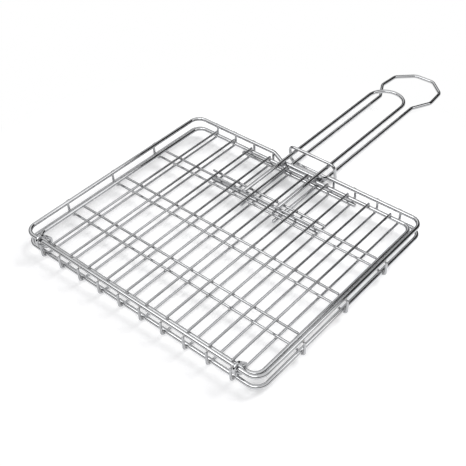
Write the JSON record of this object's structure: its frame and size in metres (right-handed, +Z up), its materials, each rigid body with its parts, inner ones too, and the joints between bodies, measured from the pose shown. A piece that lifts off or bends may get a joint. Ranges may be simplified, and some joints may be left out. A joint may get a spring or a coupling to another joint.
{
  "type": "hinged grilling basket",
  "caption": "Hinged wire grilling basket: a deep wire tray and a flat wire lid joined by loose links, each with a long wire handle, locked shut by a sliding ring.",
  "frame": {"origin": "Middle of the part's box in X and Y, at the height of its lowest point, the underside of the lock ring, with the lid shut.", "axes": "X runs along the hinge, +Y from the hinge to the handles, +Z up out of the lid."},
  "size_m": [0.3596, 0.6027, 0.0349],
  "materials": {
    "frame_wire": "bright plated round wire",
    "grid_wire": "bright plated thin wire, slightly duller than the frames",
    "ring_wire": "bright plated round wire",
    "link_wire": "bright plated round wire"
  },
  "bodies": {
    "basket": {"basket_upper_rim": "frame_wire", "basket_lower_rim": "frame_wire", "basket_long_wire_01": "grid_wire", "basket_long_wire_02": "grid_wire", "basket_long_wire_03": "grid_wire", "basket_long_wire_04": "grid_wire", "basket_long_wire_05": "grid_wire", "basket_long_wire_06": "grid_wire", "basket_long_wire_07": "grid_wire", "basket_long_wire_08": "grid_wire", "basket_long_wire_09": "grid_wire", "basket_long_wire_10": "grid_wire", "basket_cross_wire_1": "grid_wire", "basket_cross_wire_2": "grid_wire", "basket_cross_wire_3": "grid_wire", "basket_root_bar": "frame_wire", "basket_back_bar": "frame_wire", "basket_handle": "frame_wire"},
    "hinge_link_left": {"hinge_link_left": "link_wire"},
    "hinge_link_right": {"hinge_link_right": "link_wire"},
    "lid": {"lid_frame": "frame_wire", "lid_long_wire_01": "grid_wire", "lid_long_wire_02": "grid_wire", "lid_long_wire_03": "grid_wire", "lid_long_wire_04": "grid_wire", "lid_long_wire_05": "grid_wire", "lid_long_wire_06": "grid_wire", "lid_long_wire_07": "grid_wire", "lid_long_wire_08": "grid_wire", "lid_long_wire_09": "grid_wire", "lid_long_wire_10": "grid_wire", "lid_cross_wire_1": "grid_wire", "lid_cross_wire_2": "grid_wire", "lid_cross_wire_3": "grid_wire", "lid_root_bar": "grid_wire", "lid_handle": "frame_wire"},
    "lock_ring": {"lock_ring": "ring_wire"}
  },
  "joints": [
    {"name": "link_swing", "type": "hinge", "parent": "basket", "child": "hinge_link_left", "pos_m": [-0.14706, -0.2942, 0.0278], "axis": [1, 0, 0], "range_deg": [0, 110]},
    {"name": "right_link_swing", "type": "hinge", "parent": "basket", "child": "hinge_link_right", "pos_m": [0.14706, -0.2942, 0.0278], "axis": [1, 0, 0], "range_deg": [0, 110]},
    {"name": "lid_open", "type": "hinge", "parent": "hinge_link_left", "child": "lid", "pos_m": [0, -0.286, 0.0188], "axis": [1, 0, 0], "range_deg": [0, 70]},
    {"name": "ring_slide", "type": "slide", "parent": "basket", "child": "lock_ring", "axis": [0, 1, 0], "range_m": [-0.014, 0.198]}
  ],
  "couplings": [
    {"joint": "right_link_swing", "follows": "link_swing", "ratio": 1}
  ]
}
